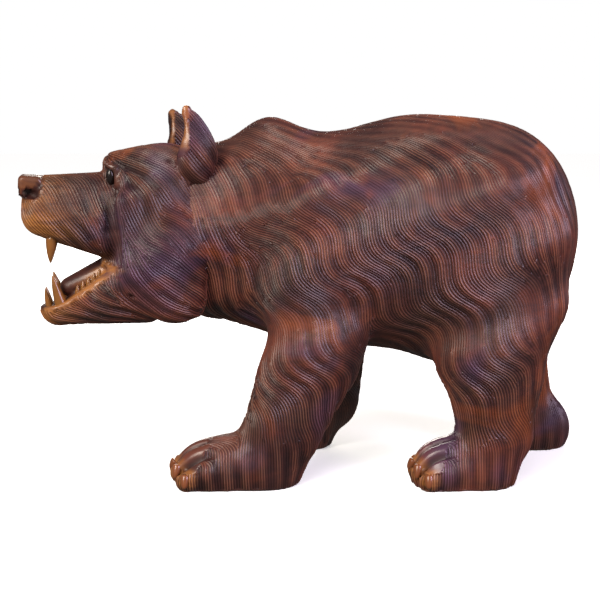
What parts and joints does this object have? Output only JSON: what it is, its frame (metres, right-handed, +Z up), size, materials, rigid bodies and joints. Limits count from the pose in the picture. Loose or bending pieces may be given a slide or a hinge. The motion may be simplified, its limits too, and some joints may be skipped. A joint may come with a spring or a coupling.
{
  "type": "carved wooden bear",
  "caption": "Walking bear carved from one block of wood, on all fours, with its mouth open and fine wavy fur cut over the whole body.",
  "frame": {"origin": "centre of the bounding box in plan, at the height of the soles", "axes": "+Z up, the bear walks towards -X, its near side in the picture is -Y"},
  "size_m": [0.5106, 0.1884, 0.3285],
  "materials": {
    "carved_wood": "lacquered dark reddish brown, satin gloss, golden on the lips, teeth, claws and ear rims"
  },
  "bodies": {
    "root": {"bear": "carved_wood"}
  },
  "joints": []
}
